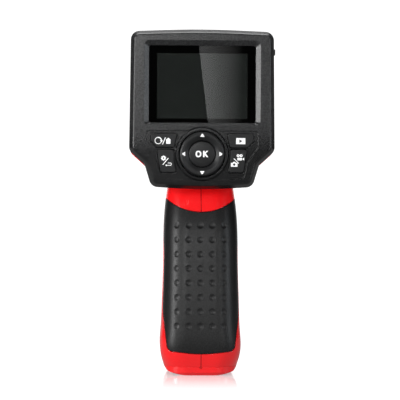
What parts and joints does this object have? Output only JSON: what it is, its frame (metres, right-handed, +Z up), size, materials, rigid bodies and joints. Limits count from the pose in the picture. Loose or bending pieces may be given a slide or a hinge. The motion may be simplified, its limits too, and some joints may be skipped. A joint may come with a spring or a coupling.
{
  "type": "inspection camera",
  "caption": "Hand-held display unit of an inspection camera: tilted-grip housing with a rectangular screen, corner keys round a rocker ring, side port flap, trigger and threaded cable socket.",
  "frame": {"origin": "middle of the flat base of the foot", "axes": "+X the user's right, +Y forward from the user to the cable socket, +Z up; the screen faces -Y"},
  "size_m": [0.0802, 0.0879, 0.1887],
  "materials": {
    "red_plastic": "satin",
    "black_plastic": "satin",
    "key_plastic": "satin",
    "trigger_plastic": "matte",
    "black_rubber": "matte",
    "clear_lens": "gloss",
    "lcd_glass": "gloss",
    "sheet_steel": "satin",
    "flex_film": "satin",
    "circuit_board": "satin",
    "chip_plastic": "matte",
    "gold_contacts": "satin",
    "key_rubber": "matte",
    "spacer_brass": "satin",
    "screw_steel": "satin",
    "spring_steel": "gloss",
    "cell_jacket": "satin",
    "red_wire": "satin",
    "black_wire": "satin",
    "connector_metal": "satin"
  },
  "bodies": {
    "housing": {"left_shell": "red_plastic", "right_shell": "red_plastic", "grip_sleeve": "black_rubber", "rear_bezel": "black_plastic", "screen_lens": "clear_lens", "lens_gasket": "black_rubber", "lcd_module": "lcd_glass", "lcd_frame": "sheet_steel", "lcd_flex": "flex_film", "main_board": "circuit_board", "board_chips": "chip_plastic", "shield_can": "sheet_steel", "board_connectors": "chip_plastic", "contact_pads": "gold_contacts", "keymat": "key_rubber", "port_board": "circuit_board", "board_spacers": "spacer_brass", "usb_connector": "sheet_steel", "card_slot": "sheet_steel", "av_jack": "chip_plastic", "trigger_bracket": "black_plastic", "trigger_spring": "spring_steel", "trigger_switch": "chip_plastic", "base_cap": "red_plastic", "door_hinge_pin": "screw_steel", "battery_tray": "black_plastic", "tray_contacts": "spring_steel", "battery_cell_1": "cell_jacket", "battery_cell_2": "cell_jacket", "battery_cell_3": "cell_jacket", "battery_cell_4": "cell_jacket", "battery_lead_red": "red_wire", "battery_lead_black": "black_wire", "connector_barrel": "connector_metal", "connector_insulator": "chip_plastic", "connector_contacts": "gold_contacts", "connector_nut": "connector_metal", "connector_seal": "black_rubber", "nose_collar": "black_rubber", "camera_lead": "black_wire", "shell_screws": "screw_steel", "board_screws": "screw_steel", "base_screws": "screw_steel"},
    "battery_door": {"battery_door": "black_plastic", "door_contacts": "spring_steel", "door_springs": "spring_steel"},
    "port_cover": {"port_cover": "black_rubber"},
    "trigger": {"trigger": "trigger_plastic"},
    "rotate_key": {"rotate_key": "key_plastic"},
    "settings_key": {"settings_key": "key_plastic"},
    "playback_key": {"playback_key": "key_plastic"},
    "camera_key": {"camera_key": "key_plastic"},
    "ok_button": {"ok_button": "key_plastic"},
    "nav_carrier": {"nav_carrier": "black_plastic"},
    "nav_ring": {"nav_ring": "key_plastic"}
  },
  "joints": [
    {"name": "battery_door_hinge", "type": "hinge", "parent": "housing", "child": "battery_door", "pos_m": [0, 0.016, 0.0023], "axis": [1, 0, 0], "range_deg": [0, 100]},
    {"name": "port_cover_hinge", "type": "hinge", "parent": "housing", "child": "port_cover", "pos_m": [0.03828, 0, 0.1318], "axis": [0, 1, 0], "range_deg": [0, 115], "stiffness_Nm_per_rad": 0.002, "springref_deg": -17.19},
    {"name": "trigger_pull", "type": "slide", "parent": "housing", "child": "trigger", "axis": [0, -1, 0], "range_m": [0, 0.0025], "stiffness_N_per_m": 800, "springref_m": -0.0015, "deforming": ["trigger_spring"]},
    {"name": "rotate_key_press", "type": "slide", "parent": "housing", "child": "rotate_key", "axis": [0, 1, 0], "range_m": [0, 0.001], "stiffness_N_per_m": 900, "springref_m": -0.0006, "deforming": ["keymat"]},
    {"name": "settings_key_press", "type": "slide", "parent": "housing", "child": "settings_key", "axis": [0, 1, 0], "range_m": [0, 0.001], "stiffness_N_per_m": 900, "springref_m": -0.0006, "deforming": ["keymat"]},
    {"name": "playback_key_press", "type": "slide", "parent": "housing", "child": "playback_key", "axis": [0, 1, 0], "range_m": [0, 0.001], "stiffness_N_per_m": 900, "springref_m": -0.0006, "deforming": ["keymat"]},
    {"name": "camera_key_press", "type": "slide", "parent": "housing", "child": "camera_key", "axis": [0, 1, 0], "range_m": [0, 0.001], "stiffness_N_per_m": 900, "springref_m": -0.0006, "deforming": ["keymat"]},
    {"name": "ok_button_press", "type": "slide", "parent": "housing", "child": "ok_button", "axis": [0, 1, 0], "range_m": [0, 0.001], "stiffness_N_per_m": 900, "springref_m": -0.0006, "deforming": ["keymat"]},
    {"name": "nav_up_down", "type": "hinge", "parent": "housing", "child": "nav_carrier", "pos_m": [0, -0.0193, 0.1208], "axis": [1, 0, 0], "range_deg": [-2.3, 2.3], "stiffness_Nm_per_rad": 0.08, "deforming": ["keymat"]},
    {"name": "nav_left_right", "type": "hinge", "parent": "nav_carrier", "child": "nav_ring", "pos_m": [0, -0.0196, 0.1208], "axis": [0, 0, 1], "range_deg": [-2.3, 2.3], "stiffness_Nm_per_rad": 0.08, "deforming": ["keymat"]}
  ]
}
